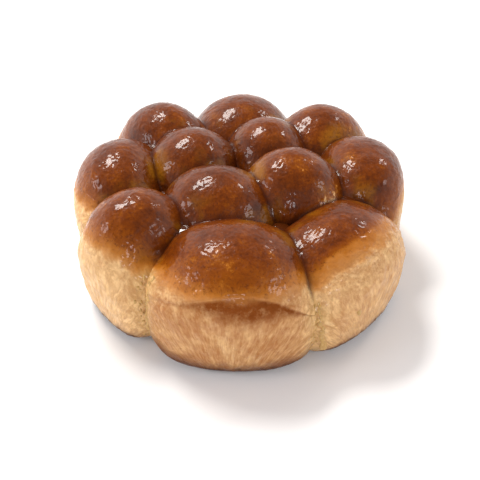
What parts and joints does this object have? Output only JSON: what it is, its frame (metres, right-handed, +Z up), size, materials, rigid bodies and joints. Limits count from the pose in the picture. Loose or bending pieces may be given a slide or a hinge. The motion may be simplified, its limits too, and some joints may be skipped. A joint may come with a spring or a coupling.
{
  "type": "honey challah",
  "caption": "Round pull-apart loaf: a ring of domed, glossy brown dough balls around an inner group, with pale pressed sides and a flat foot.",
  "frame": {"origin": "on the surface that the loaf stands on, under the middle of its width and depth", "axes": "+Z up through the crowns, -Y towards the broad front ball with the rim's lap, +X to its right"},
  "size_m": [0.2282, 0.2444, 0.0864],
  "materials": {
    "crust": "gloss"
  },
  "bodies": {
    "root": {"challah": "crust"}
  },
  "joints": []
}
